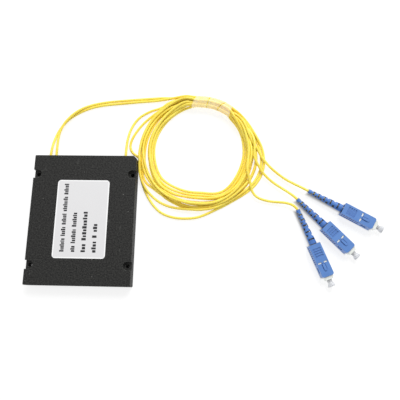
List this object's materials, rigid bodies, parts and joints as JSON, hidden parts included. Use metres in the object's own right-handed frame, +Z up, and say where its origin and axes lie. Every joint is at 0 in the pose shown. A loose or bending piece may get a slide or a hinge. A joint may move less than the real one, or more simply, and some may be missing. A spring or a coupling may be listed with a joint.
{
  "type": "fibre splitter module",
  "caption": "Flat black box module that splits one optical fibre in two, with coiled yellow leads tied by clear tape and blue push-pull plugs under clear dust caps.",
  "frame": {"origin": "middle of the box's underside", "axes": "+X across the box towards the coil, +Y towards the wall that the leads leave, +Z up out of the label"},
  "size_m": [0.2675, 0.1534, 0.0102],
  "materials": {
    "box_black": "moulded black ABS, lightly textured",
    "label_white": "printed vinyl",
    "sleeve_black": "shrink tube",
    "package_steel": "drawn square tube",
    "end_plug_rubber": "soft seal",
    "fibre_glass": "polished quartz",
    "fibre_white": "buffered fibre",
    "lead_yellow": "PVC jacket",
    "grip_blue": "moulded",
    "plug_white": "moulded",
    "ferrule_ceramic": "ground zirconia",
    "spring_steel": "wire",
    "rear_nickel": "plated",
    "crimp_aluminium": "crimped",
    "boot_blue": "soft moulding",
    "cap_clear": "soft clear moulding",
    "wrap_clear": "clear tape"
  },
  "bodies": {
    "module": {"base_tray": "box_black", "top_cover": "box_black", "label": "label_white", "anchor_sleeve_input": "sleeve_black", "anchor_sleeve_output_1": "sleeve_black", "anchor_sleeve_output_2": "sleeve_black", "package_tube": "package_steel", "input_end_plug": "end_plug_rubber", "output_end_plug": "end_plug_rubber", "splitter_chip": "fibre_glass", "input_fibre_block": "fibre_glass", "output_fibre_block": "fibre_glass", "fibre_input": "fibre_white", "fibre_output_1": "fibre_white", "fibre_output_2": "fibre_white", "plug_frame_input": "plug_white", "spring_input": "spring_steel", "rear_body_input": "rear_nickel", "crimp_ring_input": "crimp_aluminium", "boot_input": "boot_blue", "plug_frame_output_1": "plug_white", "spring_output_1": "spring_steel", "rear_body_output_1": "rear_nickel", "crimp_ring_output_1": "crimp_aluminium", "boot_output_1": "boot_blue", "plug_frame_output_2": "plug_white", "spring_output_2": "spring_steel", "rear_body_output_2": "rear_nickel", "crimp_ring_output_2": "crimp_aluminium", "boot_output_2": "boot_blue", "lead_coil": "lead_yellow", "coil_wrap": "wrap_clear", "lead_in_input": "lead_yellow", "lead_out_input": "lead_yellow", "lead_in_output_1": "lead_yellow", "lead_out_output_1": "lead_yellow", "lead_in_output_2": "lead_yellow", "lead_out_output_2": "lead_yellow", "lead_loose_turn": "lead_yellow"},
    "grip_input": {"grip_input": "grip_blue"},
    "ferrule_input": {"ferrule_input": "ferrule_ceramic"},
    "dust_cap_input": {"dust_cap_input": "cap_clear"},
    "grip_output_1": {"grip_output_1": "grip_blue"},
    "ferrule_output_1": {"ferrule_output_1": "ferrule_ceramic"},
    "dust_cap_output_1": {"dust_cap_output_1": "cap_clear"},
    "grip_output_2": {"grip_output_2": "grip_blue"},
    "ferrule_output_2": {"ferrule_output_2": "ferrule_ceramic"},
    "dust_cap_output_2": {"dust_cap_output_2": "cap_clear"}
  },
  "joints": [
    {"name": "grip_slide_input", "type": "slide", "parent": "module", "child": "grip_input", "axis": [0.878, -0.4787, 0], "range_m": [-0.0018, 0]},
    {"name": "ferrule_push_input", "type": "slide", "parent": "module", "child": "ferrule_input", "axis": [0.878, -0.4787, 0], "range_m": [-0.001, 0], "stiffness_N_per_m": 2500, "deforming": ["spring_input"]},
    {"name": "cap_pull_input", "type": "slide", "parent": "ferrule_input", "child": "dust_cap_input", "axis": [0.878, -0.4787, 0], "range_m": [0, 0.015]},
    {"name": "grip_slide_output_1", "type": "slide", "parent": "module", "child": "grip_output_1", "axis": [0.7046, -0.7096, 0], "range_m": [-0.0018, 0]},
    {"name": "ferrule_push_output_1", "type": "slide", "parent": "module", "child": "ferrule_output_1", "axis": [0.7046, -0.7096, 0], "range_m": [-0.001, 0], "stiffness_N_per_m": 2500, "deforming": ["spring_output_1"]},
    {"name": "cap_pull_output_1", "type": "slide", "parent": "ferrule_output_1", "child": "dust_cap_output_1", "axis": [0.7046, -0.7096, 0], "range_m": [0, 0.015]},
    {"name": "grip_slide_output_2", "type": "slide", "parent": "module", "child": "grip_output_2", "axis": [0.3827, -0.9239, 0], "range_m": [-0.0018, 0]},
    {"name": "ferrule_push_output_2", "type": "slide", "parent": "module", "child": "ferrule_output_2", "axis": [0.3827, -0.9239, 0], "range_m": [-0.001, 0], "stiffness_N_per_m": 2500, "deforming": ["spring_output_2"]},
    {"name": "cap_pull_output_2", "type": "slide", "parent": "ferrule_output_2", "child": "dust_cap_output_2", "axis": [0.3827, -0.9239, 0], "range_m": [0, 0.015]}
  ]
}
